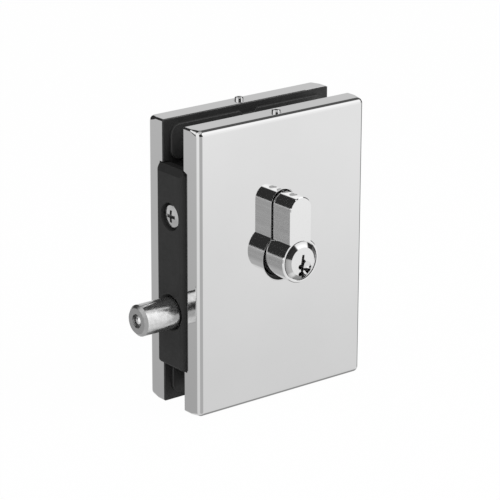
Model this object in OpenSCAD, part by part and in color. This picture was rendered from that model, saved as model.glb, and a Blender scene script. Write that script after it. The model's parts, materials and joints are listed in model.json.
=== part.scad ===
// Glass-door patch lock: two polished covers sit on clamp plates that grip the glass around
// a slim lock case, whose round bolt is worked by a double profile cylinder set pins up.
// X runs along the width and the bolt leaves towards -X, Y runs through the glass with the
// front cover towards -Y, and Z is up. The origin is the middle of the glass slot.

/* [Covers] */
// Width of each cover
cover_w = 78; // [74:1:110]
// Height of each cover
cover_h = 110; // [104:1:150]
// Depth of each cover, from its face to its open edge
cover_d = 9; // [8.5:0.1:14]
// Sheet thickness of the covers
cover_wall = 1.5; // [1:0.1:2]
// Radius of the edges around a cover's face
cover_edge_r = 2.2; // [1:0.1:3]
// Radius where two cover walls meet at the open edge
cover_corner_r = 0.9; // [0.5:0.1:1]
// Room around the round part of the cylinder in a cover's cut-out
cutout_round_gap = 0.95; // [0.5:0.05:2]
// How far the round part of a cover's cut-out sits below the cylinder's
cutout_drop = 0.9; // [0:0.1:1]
// Room around the flat part of the cylinder in a cover's cut-out
cutout_body_gap = 0.7; // [0.2:0.05:1.5]
// Thread diameter of the grub screw in each cover's top wall
grub_d = 4; // [3:0.5:5]
// Length of the grub screws
grub_len = 8; // [6:0.5:12]
// How far a grub screw stands above the top wall
grub_proud = 1.1; // [0:0.1:2]

/* [Glass clamp] */
// Glass thickness that the slot takes
glass_t = 10; // [9:0.5:14]
// Thickness of each gasket
gasket_t = 1; // [0.8:0.1:3]
// From a cover's outer edges to the gasket
gasket_inset = 2.4; // [2:0.1:8]
// From the covers' bolt side to the ends of the gasket's arms
gasket_end_inset = 3.3; // [2.5:0.1:8]
// Corner radius of the gasket
gasket_r = 4; // [1:0.5:5]
// Thickness of the clamp plate's slab
plate_slab = 3; // [2:0.1:5]
// Thickness of the lip that a cover's open edge rests on
plate_lip = 0.5; // [0.3:0.1:1]
// Thickness of the clamp plate's rim and ribs
plate_rim = 2; // [1.2:0.1:3]
// Thread diameter of the four screws that draw the plates together
clamp_d = 5; // [4:0.5:6]

/* [Lock case] */
// Height of the case that fills the cut-out in the glass
case_h = 72; // [68:1:90]
// Thickness of the case's back and of its lid
case_wall = 1.2; // [1:0.1:2]
// Thickness of the wall behind the bolt carriage
case_end_wall = 2.5; // [1.5:0.1:5]
// Thread diameter of the lid screws
lid_screw_d = 3; // [2:0.5:4]
// Width of the forend, through the glass
forend_w = 15.7; // [15:0.1:19]
// Height of the forend
forend_h = 77.4; // [74:0.1:95]
// Thickness of the forend
forend_t = 4.5; // [4:0.1:7]
// How far the forend stands out of the covers' side walls
forend_proud = 1.7; // [0.5:0.1:3]
// Radius of the forend's front upright edge
forend_front_r = 2.2; // [0.5:0.1:3]
// Radius of the forend's rear upright edge and of its lower edge
forend_edge_r = 1; // [0.5:0.1:1.7]
// Depth of the bevel across the forend's upper end
forend_top_in = 1.6; // [0.5:0.1:3]
// Height of the bevel across the forend's upper end
forend_top_drop = 2.6; // [1:0.1:4]
// Radius of the forend's upper front and lower rear corners
forend_corner_r = 3; // [1:0.1:4]

/* [Profile cylinder] */
// Height of the key axis above the middle of the covers
key_z = 1.5; // [-4:0.1:6]
// Diameter of the round part of the profile
cyl_round_d = 17; // [16.5:0.1:18]
// Width of the flat part of the profile
cyl_body_w = 10; // [9.5:0.1:11]
// Overall height of the profile
cyl_h = 33; // [32:0.1:35]
// How far the cylinder stands out of each cover
cyl_proj = 10.5; // [8:0.1:20]
// Diameter of the turning plugs
plug_d = 13; // [12:0.1:13.4]
// Diameter of the plug's face
plug_face_d = 14.6; // [14:0.1:15.2]
// Height of the bevel on the plug's face
plug_bevel = 1.3; // [0.5:0.1:2]
// Width of the bevel around the plug's face
plug_bevel_w = 1.9; // [0.5:0.1:2.5]
// From the key axis up to the fixing screw
fixing_rise = 18.4; // [17:0.1:19]
// Thread diameter of the fixing screw
fixing_d = 5; // [4:0.5:5.5]
// Diameter of the fixing screw's head
fixing_head_d = 9.2; // [7:0.1:10]
// Diameter of the recess around the fixing screw's head
fixing_recess_d = 10.8; // [10.2:0.1:13]
// Diameter of the tumbler pins
pin_d = 2.8; // [2.4:0.1:3]
// Number of tumbler pins on each side
pin_count = 4; // [2:1:4]
// Distance between neighbouring pins
pin_pitch = 4.6; // [3.6:0.1:4.6]
// From the cylinder's end to the first pin
pin_first = 4.5; // [4:0.1:5]

/* [Cam and bolt] */
// Reach of the cam's lever from the key axis
cam_r = 13.6; // [13:0.1:13.9]
// Width of the cam's lever
cam_lever_w = 3.8; // [3:0.1:5]
// Diameter of the bolt
bolt_d = 12; // [10:0.1:13]
// Travel of the bolt
bolt_throw = 14.6; // [10:0.1:16]
// How far the drawn-back bolt still stands out of the forend
bolt_back = 0.7; // [0:0.1:2]
// From the key axis down to the bolt axis
bolt_drop = 18.7; // [18.5:0.1:22]
// Diameter of the hollow in the bolt's end
bolt_hollow_d = 5.4; // [3:0.1:6]
// Width of the bevel around the bolt's end
bolt_bevel = 1.1; // [0.4:0.1:1.5]

/* [Fits] */
// Radial clearance of turning and sliding fits
run_gap = 0.08; // [0.03:0.01:0.1]
// Clearance between fixed pieces that drop into each other
seat_gap = 0.2; // [0.1:0.05:0.4]
// Clearance around pieces that pass through a hole or move past a wall
pass_gap = 0.4; // [0.2:0.05:0.6]

/* [Hidden] */
$fn = 64;
over = 1;

// Depths from the middle of the glass
plate_y = glass_t / 2 + gasket_t;
edge_y = plate_y + plate_lip;
face_y = edge_y + cover_d;
plate_back_y = face_y - cover_wall - seat_gap;
grub_y = (edge_y + face_y) / 2;
case_y = plate_y - seat_gap;
chamber_y = case_y - case_wall;
cam_slot_y = chamber_y + pass_gap;
cam_side_gap = 1.1;
cam_y = chamber_y - cam_side_gap;
cyl_y = face_y + cyl_proj;

// Length over which a cover's corner narrows from its face to its walls
corner_taper = 3;

// Clamp plate outline, and the outline of its lip
plate_x = cover_w / 2 - cover_wall - seat_gap;
plate_z = cover_h / 2 - cover_wall - seat_gap;
lip_inset = 0.3;
lip_x = cover_w / 2 - lip_inset;
lip_z = cover_h / 2 - lip_inset;

// Forend
forend_x0 = -cover_w / 2 - forend_proud;
forend_x1 = forend_x0 + forend_t;
fixing_z = key_z + fixing_rise;
fixing_recess = 2.9;
fixing_head_h = 2.4;
fixing_tip_x = 3.6;

// Profile cylinder, measured from the key axis
cyl_r = cyl_round_d / 2;
cyl_top = cyl_h - cyl_r;
plug_r = plug_d / 2;
plug_face_r = plug_face_d / 2;
// The keyway's outline is drawn for a plug of this diameter
keyway_plug_d = 13;
keyway_scale = plug_d / keyway_plug_d;
plug_head_t = 1.2;
plug_head_gap = 0.3;
end_chamfer = 0.3;
plug_slack = 0.1;
plug_end_y = cam_y + plug_slack;
clip_t = 0.6;
end_gap = 0.05;
clip_y1 = cam_slot_y - end_gap;
clip_y0 = clip_y1 - clip_t;
clip_groove = 0.9;
clip_rise = 1.3;
clip_inner_r = plug_r - clip_groove;
clip_outer_r = plug_r + clip_rise;
clutch_wall = 1.6;
clutch_r = plug_r - clutch_wall;
clutch_tongue_w = 2.4;
clutch_reach = 1.8;
clutch_tongue_y = plug_end_y + clutch_reach;
pin_r = pin_d / 2;
chamber_r = pin_r + plug_slack;
key_pin_z0 = 1.2;
key_pin_z1 = sqrt(plug_r * plug_r - pin_r * pin_r) - plug_slack;
driver_lift = 0.25;
driver_len = 5;
driver_z0 = plug_r + driver_lift;
driver_z1 = driver_z0 + driver_len;
spring_z0 = driver_z1 + end_gap;
chamber_plug_t = 3.4;
chamber_plug_in = 0.1;
chamber_plug_z0 = cyl_top - chamber_plug_t;
spring_z1 = chamber_plug_z0 - end_gap;
spring_wire_r = 0.22;
spring_turns = 4.5;

// Bolt and its carriage, with the bolt thrown
bolt_r = bolt_d / 2;
bolt_z = key_z - bolt_drop;
bolt_tip_x = forend_x0 - bolt_back - bolt_throw;
slide_gap = 0.5;
bolt_shank_r = chamber_y - slide_gap;
bolt_stud_r = bolt_hollow_d * 0.35;
bolt_stud_in = 0.2;
bolt_hollow_depth = bolt_stud_r + bolt_stud_in;
talon_play = 0.75;
talon_half = cam_lever_w / 2 + talon_play;
talon_flare = 0.6;
talon_top_gap = 0.9;
talon_top_z = key_z - cyl_r - talon_top_gap;
talon_floor_gap = 0.6;
talon_floor_z = key_z - cam_r - talon_floor_gap;
talon_x = -bolt_throw / 2;
carriage_y = chamber_y - slide_gap;
carriage_head = 7;
carriage_tail = 6.4;
carriage_foot = 0.3;
carriage_x0 = talon_x - talon_half - carriage_head;
carriage_x1 = carriage_x0 + bolt_throw + carriage_tail;
carriage_z0 = bolt_z - bolt_r + carriage_foot;
barrel_x1 = carriage_x0 - slide_gap;
barrel_wall = 1.8;
barrel_r = bolt_r + barrel_wall;
bolt_land_x1 = barrel_x1 - bolt_throw - pass_gap;
bolt_groove_in = 0.2;
bolt_groove_w = 1.5;
bolt_groove_x0 = forend_x0 + bolt_groove_in;
bolt_groove_x1 = bolt_groove_x0 + bolt_groove_w;
bolt_groove_depth = 0.4;
spigot_r = bolt_shank_r / 2;
spigot_len = 7;
bolt_pin_r = 1;
bolt_pin_x = carriage_x0 - spigot_len / 2;

// The lever's angle from straight down when the bolt is thrown
cam_drive_in = 1.2;
cam_drive_r = cam_r - cam_drive_in;
cam_rest = asin(bolt_throw / 2 / cam_drive_r);

// Lock case
chamber_x1 = carriage_x1 + bolt_throw + slide_gap;
chamber_z0 = carriage_z0 - carriage_foot;
case_x1 = chamber_x1 + case_end_wall;
glass_notch_gap = 1;
glass_notch_x = case_x1 + glass_notch_gap;
glass_notch_z = max(forend_h, case_h) / 2 + pass_gap;

// Detent spring under the carriage
detent_inset = 3;
detent_x = carriage_x1 - detent_inset;
detent_r = 2.2;
detent_rise = 1;
detent_leaf_t = 0.5;
detent_leaf_y = 3;
detent_half_len = 10;
detent_z = carriage_z0 + detent_rise - detent_r;
detent_ledge = 3;
detent_room = 1.8;
detent_play = 0.3;

// Screw places in X and Z
clamp_r = clamp_d / 2;
clamp_rim = 1.75;
clamp_head_r = clamp_r + clamp_rim;
clamp_head_h = clamp_d;
clamp_boss_r = clamp_head_r + clamp_rim;
clamp_tip_gap = 1.5;
clamp_tip_y = plate_back_y - clamp_tip_gap;
clamp_inset_front = 9;
clamp_inset_back = 8.6;
clamp_inset_z = 6;
clamp_z = case_h / 2 - clamp_inset_z;
clamp_x = [forend_x1 + clamp_inset_front, case_x1 - clamp_inset_back];
clamp_at = [for (x = clamp_x, z = [-clamp_z, clamp_z]) [x, z]];
lid_screw_r = lid_screw_d / 2;
lid_screw_len = 7;
lid_inset_front = 10;
lid_inset_back = 6;
lid_rise_front = 9;
lid_rise_back = 13;
lid_low_x = -3;
lid_low_inset = 5;
lid_screw_at = [
    [forend_x1 + lid_inset_front, key_z + lid_rise_front],
    [case_x1 - lid_inset_back, key_z + lid_rise_back],
    [lid_low_x, lid_low_inset - case_h / 2]
];

// Extrudes an X-Z outline through the glass, from y0 to y1
module along_y(y0, y1) {
    translate([0, y1, 0]) rotate([90, 0, 0]) linear_extrude(y1 - y0) children();
}

// Extrudes a Y-Z outline along the width, from x0 to x1
module along_x(x0, x1) {
    translate([x0, 0, 0]) rotate([90, 0, 90]) linear_extrude(x1 - x0) children();
}

// Mirrors a front piece to the rear
module to_rear() {
    mirror([0, 1, 0]) children();
}

// Places an outline on the key axis
module at_key() {
    translate([0, key_z]) children();
}

// Rectangle between two corners
module span(x0, z0, x1, z1) {
    translate([x0, z0]) square([x1 - x0, z1 - z0]);
}

// Rectangle between two corners with round corners
module round_span(x0, z0, x1, z1, r) {
    span(x0 + r, z0, x1 - r, z1);
    span(x0, z0 + r, x1, z1 - r);
    for (x = [x0 + r, x1 - r], z = [z0 + r, z1 - r]) translate([x, z]) circle(r = r);
}

// What is cut off a square corner at the origin to round it, the solid lying towards +X and +Y
module corner_cut(r) {
    difference() {
        translate([-over, -over]) square(r + over);
        translate([r, r]) circle(r = r);
    }
}

// Outline of the profile cylinder about the key axis, widened at its round and flat parts
module profile(round_gap = 0, body_gap = 0) {
    half = cyl_body_w / 2 + body_gap;
    circle(r = cyl_r + round_gap);
    span(-half, 0, half, cyl_top - cyl_body_w / 2);
    translate([0, cyl_top - cyl_body_w / 2]) circle(r = half);
}

// Outline of the forend through the glass, its upper front and lower rear corners round
module forend_section(half_y, half_z) {
    difference() {
        span(-half_y, -half_z, half_y, half_z);
        for (turn = [0, 180]) rotate(turn)
            translate([-half_y, half_z]) mirror([0, 1]) corner_cut(forend_corner_r);
    }
}

// What the forend needs cut out of both covers' side walls
module forend_slot() {
    along_x(-cover_w / 2 - over, cover_wall + over - cover_w / 2)
        forend_section(forend_w / 2 + seat_gap, forend_h / 2 + pass_gap);
}

// What is cut off a cover's corner at the origin, its face lying at Z = 0: a ball at the face that
// narrows to the small edge between the walls
module cover_corner_cut() {
    lean = (cover_corner_r - cover_edge_r) / corner_taper;
    difference() {
        translate([-over, -over, -over]) cube(cover_edge_r + over);
        translate([cover_edge_r, cover_edge_r, cover_edge_r]) sphere(r = cover_edge_r);
    }
    difference() {
        translate([0, 0, cover_edge_r]) linear_extrude(corner_taper, scale = cover_corner_r / cover_edge_r)
            translate([-over, -over]) square(cover_edge_r + over);
        translate([cover_edge_r, cover_edge_r, cover_edge_r])
            multmatrix([[1, 0, lean, 0], [0, 1, lean, 0], [0, 0, 1, 0]])
                cylinder(r1 = cover_edge_r, r2 = cover_corner_r, h = corner_taper);
    }
    translate([0, 0, cover_edge_r + corner_taper]) linear_extrude(cover_d) corner_cut(cover_corner_r);
}

// Box of a cover with a rounded face
module cover_block() {
    difference() {
        translate([-cover_w / 2, -face_y, -cover_h / 2]) cube([cover_w, cover_d, cover_h]);
        for (side = [0, 1]) {
            mirror([side, 0, 0]) translate([-cover_w / 2, -face_y, -cover_h / 2 - over])
                linear_extrude(cover_h + 2 * over) corner_cut(cover_edge_r);
            mirror([0, 0, side]) translate([-cover_w / 2 - over, -face_y, cover_h / 2])
                rotate([0, 90, 0]) linear_extrude(cover_w + 2 * over) corner_cut(cover_edge_r);
        }
        for (side = [0, 1], end = [0, 1]) mirror([side, 0, 0]) mirror([0, 0, end])
            translate([-cover_w / 2, -face_y, cover_h / 2]) rotate([-90, 0, 0]) cover_corner_cut();
    }
}

// Pressed cover with the cylinder cut-out and the grub screw hole
module cover() {
    difference() {
        cover_block();
        translate([cover_wall - cover_w / 2, cover_wall - face_y, cover_wall - cover_h / 2])
            cube([cover_w - 2 * cover_wall, cover_d, cover_h - 2 * cover_wall]);
        along_y(-face_y - over, -edge_y) at_key() {
            translate([0, -cutout_drop]) circle(r = cyl_r + cutout_round_gap);
            profile(seat_gap, cutout_body_gap);
        }
        translate([0, -grub_y, cover_h / 2 - cover_wall - over])
            cylinder(r = grub_d / 2 + seat_gap, h = cover_wall + 2 * over);
    }
}

// Cast tray that grips the glass: a slab with a rim, a collar round the cylinder, ribs and bosses
module clamp_plate(screw_hole_r, head_hole) {
    boss_half = grub_d / 2 + 3;
    boss_low_z = cover_h / 2 - grub_len - 2;
    rib_y = plate_back_y - 1;
    difference() {
        union() {
            along_y(-plate_y - plate_slab, -plate_y) span(-plate_x, -plate_z, plate_x, plate_z);
            along_y(-edge_y, -plate_y) span(-lip_x, -lip_z, lip_x, lip_z);
            along_y(-plate_back_y, -plate_y) difference() {
                span(-plate_x, -plate_z, plate_x, plate_z);
                span(plate_rim - plate_x, plate_rim - plate_z, plate_x - plate_rim, plate_z - plate_rim);
            }
            along_y(-plate_back_y, -plate_y) {
                at_key() profile(pass_gap + plate_rim, pass_gap + plate_rim);
                for (p = clamp_at) translate(p) circle(r = clamp_boss_r);
            }
            along_y(-rib_y, -plate_y) {
                at_key() span(-plate_x, -plate_rim / 2, plate_x, plate_rim / 2);
                span(-plate_rim / 2, -plate_z, plate_rim / 2, plate_z);
            }
            along_y(-plate_back_y, -plate_y) span(-boss_half, boss_low_z, boss_half, plate_z);
        }
        along_y(-plate_back_y - over, -plate_y + over) at_key() profile(pass_gap, pass_gap);
        along_x(-lip_x - over, forend_x1 + pass_gap)
            span(-forend_w / 2 - seat_gap, -glass_notch_z, forend_w / 2 + seat_gap, glass_notch_z);
        along_x(-plate_x - over, barrel_x1 + pass_gap)
            translate([0, bolt_z]) circle(r = barrel_r + pass_gap);
        for (p = clamp_at) {
            along_y(-plate_back_y - over, -plate_y + over) translate(p) circle(r = screw_hole_r);
            if (head_hole)
                along_y(-plate_back_y - over, clamp_head_h - plate_back_y)
                    translate(p) circle(r = clamp_head_r + seat_gap);
        }
        translate([0, -grub_y, boss_low_z + 1])
            cylinder(r = grub_d / 2 + run_gap, h = grub_len + 2 * over);
    }
}

// Gasket around three sides of the cut-out in the glass
module gasket() {
    x0 = gasket_end_inset - cover_w / 2;
    x1 = cover_w / 2 - gasket_inset;
    z1 = cover_h / 2 - gasket_inset;
    r = min(gasket_r, (z1 - glass_notch_z) / 2.1, (x1 - glass_notch_x) / 2.1);
    notch = grub_d * 0.35;
    along_y(-plate_y, -plate_y + gasket_t) difference() {
        union() {
            for (side = [-1, 1]) translate([0, side * (glass_notch_z + z1) / 2])
                round_span(x0, (glass_notch_z - z1) / 2, x1, (z1 - glass_notch_z) / 2, r);
            round_span(glass_notch_x, -z1, x1, z1, r);
        }
        // Notch in the top edge below the grub screw
        translate([0, z1]) polygon([
            [-grub_d, over], [-grub_d, 0], [-grub_d / 2 - notch / 2, -notch],
            [grub_d / 2 + notch / 2, -notch], [grub_d, 0], [grub_d, over]
        ]);
    }
}

// Grub screw with a hexagon socket, standing in the front cover's top wall
module grub_screw() {
    socket_r = grub_d * 0.29;
    chamfer = grub_d * 0.08;
    translate([0, -grub_y, cover_h / 2 + grub_proud - grub_len]) difference() {
        union() {
            cylinder(r = grub_d / 2, h = grub_len - chamfer);
            translate([0, 0, grub_len - chamfer])
                cylinder(r1 = grub_d / 2, r2 = grub_d / 2 - chamfer, h = chamfer);
        }
        translate([0, 0, grub_len - grub_d / 2]) cylinder(r = socket_r, h = grub_d, $fn = 6);
    }
}

// Forend block with round edges and a bevelled upper end
module forend() {
    slope = forend_top_drop / forend_top_in;
    difference() {
        along_x(forend_x0, forend_x1) forend_section(forend_w / 2, forend_h / 2);
        translate([forend_x0, -forend_w / 2, -forend_h / 2 - over])
            linear_extrude(forend_h + 2 * over) corner_cut(forend_front_r);
        to_rear() translate([forend_x0, -forend_w / 2, -forend_h / 2 - over])
            linear_extrude(forend_h + 2 * over) corner_cut(forend_edge_r);
        translate([forend_x0, forend_w / 2 + over, -forend_h / 2]) rotate([90, 0, 0])
            linear_extrude(forend_w + 2 * over) corner_cut(forend_edge_r);
        translate([forend_x0, forend_w / 2 + over, forend_h / 2]) rotate([90, 0, 0])
            linear_extrude(forend_w + 2 * over) polygon([
                [-over, -forend_top_drop - over * slope], [forend_top_in + over, over * slope],
                [-over, over * slope]
            ]);
    }
}

// Rooms inside the case for the carriage, the cam and the detent spring, open at the lid
module case_rooms() {
    ledge_x0 = detent_x - detent_half_len - pass_gap;
    ledge_x1 = detent_x + detent_half_len + pass_gap;
    leaf_z0 = detent_z - detent_leaf_t / 2;
    along_y(-case_y - over, chamber_y) {
        span(barrel_x1, chamber_z0, chamber_x1, talon_top_z + pass_gap);
        at_key() circle(r = cam_r + pass_gap);
    }
    along_y(-case_y - over, detent_leaf_y + pass_gap) {
        span(ledge_x0, leaf_z0, ledge_x1, chamber_z0 + over);
        span(ledge_x0 + detent_ledge, leaf_z0 - detent_room, ledge_x1 - detent_ledge, chamber_z0 + over);
    }
}

// Cast case with the forend, the bolt's guide barrel and the rooms of the mechanism
module lock_case_body() {
    mouth = 1;
    difference() {
        union() {
            forend();
            along_y(-chamber_y, case_y) span(forend_x1 - over, -case_h / 2, case_x1, case_h / 2);
            along_x(forend_x1 - over, barrel_x1) translate([0, bolt_z]) circle(r = barrel_r);
        }
        case_rooms();
        along_y(-case_y - over, case_y + over) at_key() profile(pass_gap, pass_gap);
        along_x(forend_x0 - over, barrel_x1 + over) translate([0, bolt_z]) circle(r = bolt_r + run_gap);
        translate([forend_x0 - over, 0, bolt_z]) rotate([0, 90, 0])
            cylinder(r1 = bolt_r + mouth + over, r2 = bolt_r, h = mouth + over);
        along_x(forend_x0 - over, 0) translate([0, fixing_z]) circle(r = fixing_d / 2 + seat_gap);
        along_x(forend_x0 - over, forend_x0 + fixing_recess)
            translate([0, fixing_z]) circle(r = fixing_recess_d / 2);
        for (p = clamp_at)
            along_y(-case_y - over, case_y + over) translate(p) circle(r = clamp_r + seat_gap);
        for (p = lid_screw_at)
            along_y(-case_y - over, lid_screw_len - case_y + slide_gap)
                translate(p) circle(r = lid_screw_r + run_gap);
    }
}

// Cone of a countersunk lid screw at the lid's outer face
module lid_screw_cone(gap) {
    translate([0, -case_y, 0]) rotate([-90, 0, 0])
        cylinder(r1 = lid_screw_r + case_wall + gap, r2 = lid_screw_r + gap, h = case_wall);
}

// Sheet lid over the case's rooms
module case_lid_sheet() {
    barrel_half = sqrt(barrel_r * barrel_r - chamber_y * chamber_y) + pass_gap;
    difference() {
        along_y(-case_y, -chamber_y) difference() {
            span(forend_x1, -case_h / 2, case_x1, case_h / 2);
            span(forend_x1 - over, bolt_z - barrel_half, barrel_x1 + pass_gap, bolt_z + barrel_half);
            at_key() profile(pass_gap, pass_gap);
            for (p = clamp_at) translate(p) circle(r = clamp_r + seat_gap);
        }
        for (p = lid_screw_at) translate([p[0], 0, p[1]]) lid_screw_cone(run_gap);
    }
}

// Countersunk screw with a plain slot
module lid_screw() {
    difference() {
        union() {
            lid_screw_cone(0);
            along_y(-chamber_y - over / 4, lid_screw_len - case_y) circle(r = lid_screw_r);
        }
        along_y(-case_y - over, -case_y + case_wall / 2)
            square([2 * (lid_screw_r + case_wall) + over, lid_screw_r / 2], center = true);
    }
}

// Socket head screw from the front clamp plate into the rear one
module clamp_screw() {
    head_y = plate_back_y - clamp_head_h;
    socket_r = clamp_d * 0.46;
    difference() {
        union() {
            along_y(-plate_back_y, -head_y) circle(r = clamp_head_r);
            along_y(-head_y - over / 4, clamp_tip_y) circle(r = clamp_r);
        }
        along_y(-plate_back_y - over, -plate_back_y + clamp_d / 2) circle(r = socket_r, $fn = 6);
    }
}

// Places of the pins on the front side
module at_front_pins() {
    for (i = [0 : pin_count - 1]) translate([0, pin_first + i * pin_pitch - cyl_y, key_z]) children();
}

// Places of the pins on both sides
module at_all_pins() {
    at_front_pins() children();
    to_rear() at_front_pins() children();
}

// Round bar through the glass with chamfered ends, its axis some way above the key axis
module round_bar(r, rise) {
    translate([0, 0, key_z + rise]) rotate([90, 0, 0]) rotate_extrude() polygon([
        [0, -cyl_y], [r - end_chamfer, -cyl_y], [r, end_chamfer - cyl_y],
        [r, cyl_y - end_chamfer], [r - end_chamfer, cyl_y], [0, cyl_y]
    ]);
}

// Bar of the profile cylinder with chamfered ends
module housing_bar() {
    half = cyl_body_w / 2;
    rise = cyl_top - half;
    round_bar(cyl_r, 0);
    round_bar(half, rise);
    translate([0, 0, key_z]) linear_extrude(rise) polygon([
        [end_chamfer - half, -cyl_y], [half - end_chamfer, -cyl_y], [half, end_chamfer - cyl_y],
        [half, cyl_y - end_chamfer], [half - end_chamfer, cyl_y], [end_chamfer - half, cyl_y],
        [-half, cyl_y - end_chamfer], [-half, end_chamfer - cyl_y]
    ]);
}

// One-piece body of the profile cylinder
module housing() {
    difference() {
        housing_bar();
        along_y(-cyl_y - over, cyl_y + over) at_key() circle(r = plug_r + run_gap);
        for (side = [0, 1]) mirror([0, side, 0])
            along_y(-cyl_y - over, -cyl_y + plug_head_t + run_gap)
                at_key() circle(r = plug_face_r + plug_head_gap);
        along_y(-cam_slot_y, cam_slot_y) at_key() circle(r = cam_r + pass_gap);
        along_x(-cyl_body_w, cyl_body_w) translate([0, fixing_z]) circle(r = fixing_d / 2 + run_gap);
        at_all_pins() cylinder(r = chamber_r, h = cyl_h);
    }
}

// Section of the keyway about the key axis: a stepped blade slot with two side lobes on the left
// and a pocket on the right that a thin rib parts from the slot's foot
module keyway() {
    scale(keyway_scale) polygon([
        [-0.2, 2.6], [0.8, 2.5], [0.65, 0.8], [1.5, -0.1], [1.4, -0.5], [0.95, -0.9], [0.8, -2.6],
        [0.95, -2.9], [3.9, -3.4], [3.5, -4.4], [2.4, -5.4], [1.15, -3.95], [0.5, -3.3],
        [0.15, -3.9], [0.8, -4.85], [1.65, -5.5], [2.3, -5.9], [2.2, -6.5], [0.2, -6.8],
        [-0.3, -5.7], [-0.85, -5.4], [-0.9, -3.2], [-0.85, -0.9], [-0.65, 0.2], [-0.4, 1.8]
    ]);
    scale(keyway_scale) {
        translate([-1.1, -1.9]) circle(r = 0.95, $fn = 32);
        translate([-1.2, -4.65]) circle(r = 0.8, $fn = 32);
    }
}

// Turning plug with its bevelled face, keyway, key ramp and pin holes
module plug() {
    ramp_r = 2.7 * keyway_scale;
    ramp_at = [1.4, -2.8] * keyway_scale;
    ramp_corner = [0.5, -3.2] * keyway_scale;
    ramp_tilt = 12;
    face_y0 = -cyl_y - plug_bevel;
    difference() {
        union() {
            along_y(-cyl_y, -plug_end_y) at_key() circle(r = plug_r);
            along_y(-cyl_y, -cyl_y + plug_head_t) at_key() circle(r = plug_face_r);
            translate([0, -cyl_y, key_z]) rotate([90, 0, 0])
                cylinder(r1 = plug_face_r, r2 = plug_face_r - plug_bevel_w, h = plug_bevel);
        }
        along_y(face_y0 - over, -plug_end_y + over) at_key() keyway();
        // Ramp that leads the key's tip down into the pocket
        intersection() {
            along_y(face_y0 - over, face_y0 + ramp_r) at_key() intersection() {
                translate(ramp_at) circle(r = ramp_r);
                translate(ramp_corner) square(2 * ramp_r);
            }
            translate([0, face_y0, key_z + ramp_at[1] + ramp_r]) rotate([ramp_tilt, 0, 0])
                translate([-plug_d, -plug_d, -plug_d]) cube([2 * plug_d, plug_d, 2 * plug_d]);
        }
        at_front_pins() translate([0, 0, key_pin_z0 - pass_gap]) cylinder(r = chamber_r, h = plug_d);
        along_y(-clip_y1, -clip_y0) at_key() difference() {
            circle(r = plug_r + over);
            circle(r = clip_inner_r - run_gap);
        }
        along_y(-clutch_tongue_y - pass_gap, -plug_end_y + over) at_key()
            square([2 * (clutch_r + seat_gap), clutch_tongue_w + seat_gap], center = true);
    }
}

// Open ring that holds a plug in the housing
module plug_clip() {
    along_y(-clip_y1, -clip_y0) at_key() difference() {
        circle(r = clip_outer_r);
        circle(r = clip_inner_r);
        polygon([[0, 0], [-plug_d, plug_d], [plug_d, plug_d]]);
    }
}

// Key pin with a pointed tip, lifted to the shear line
module key_pin() {
    tip = 0.8;
    translate([0, 0, key_pin_z0]) cylinder(r1 = pin_r - tip, r2 = pin_r, h = tip);
    translate([0, 0, key_pin_z0 + tip]) cylinder(r = pin_r, h = key_pin_z1 - key_pin_z0 - tip);
}

// Coil spring above a driver pin
module pin_spring() {
    translate([0, 0, spring_z0 + spring_wire_r])
        linear_extrude(spring_z1 - spring_z0 - 2 * spring_wire_r,
            twist = -360 * spring_turns, slices = 36, $fn = 5)
            translate([pin_r - spring_wire_r, 0]) circle(r = spring_wire_r);
}

// Ring of the cam with its lever, pointing straight down
module cam_outline() {
    tip_r = cam_lever_w / 2;
    circle(r = cyl_r - seat_gap);
    intersection() {
        circle(r = cam_r);
        span(-tip_r, -cam_r, tip_r, 0);
    }
}

// Round bolt with a bevelled end, a hollow around a round stud, a relief groove and a thinner shank
module bolt_bar() {
    head_len = bolt_land_x1 - bolt_tip_x;
    groove_a = bolt_groove_x0 - bolt_tip_x;
    groove_b = bolt_groove_x1 - bolt_tip_x;
    shank_end = carriage_x0 - bolt_tip_x;
    hollow_r = bolt_hollow_d / 2;
    difference() {
        union() {
            translate([bolt_tip_x, 0, bolt_z]) rotate([0, 90, 0]) rotate_extrude() polygon([
                [0, bolt_hollow_depth], [hollow_r, bolt_hollow_depth], [hollow_r, 0],
                [bolt_r - bolt_bevel, 0], [bolt_r, bolt_bevel],
                [bolt_r, groove_a], [bolt_r - bolt_groove_depth, groove_a + bolt_groove_depth],
                [bolt_r - bolt_groove_depth, groove_b - bolt_groove_depth], [bolt_r, groove_b],
                [bolt_r, head_len], [bolt_shank_r, head_len], [bolt_shank_r, shank_end], [0, shank_end]
            ]);
            translate([bolt_tip_x + bolt_hollow_depth, 0, bolt_z]) sphere(r = bolt_stud_r);
        }
        along_x(carriage_x0 - spigot_len - seat_gap, carriage_x0 + over)
            translate([0, bolt_z]) circle(r = spigot_r + run_gap);
        along_y(-bolt_d, bolt_d) translate([bolt_pin_x, bolt_z]) circle(r = bolt_pin_r + run_gap);
    }
}

// Flat carriage with the notch for the cam's lever and two notches for the detent spring
module carriage() {
    difference() {
        union() {
            along_y(-carriage_y, carriage_y) span(carriage_x0, carriage_z0, carriage_x1, talon_top_z);
            along_x(carriage_x0 - spigot_len, carriage_x0 + over)
                translate([0, bolt_z]) circle(r = spigot_r);
        }
        along_y(-carriage_y - over, carriage_y + over) {
            translate([talon_x, 0]) polygon([
                [-talon_half, talon_floor_z], [talon_half, talon_floor_z],
                [talon_half, talon_top_z - 1.5 * talon_flare], [talon_half + talon_flare, talon_top_z],
                [talon_half + talon_flare, talon_top_z + over],
                [-talon_half - talon_flare, talon_top_z + over],
                [-talon_half - talon_flare, talon_top_z], [-talon_half, talon_top_z - 1.5 * talon_flare]
            ]);
            for (x = [detent_x, detent_x - bolt_throw])
                translate([x, detent_z]) circle(r = detent_r + detent_play);
            translate([bolt_pin_x, bolt_z]) circle(r = bolt_pin_r + run_gap);
        }
    }
}

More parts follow.
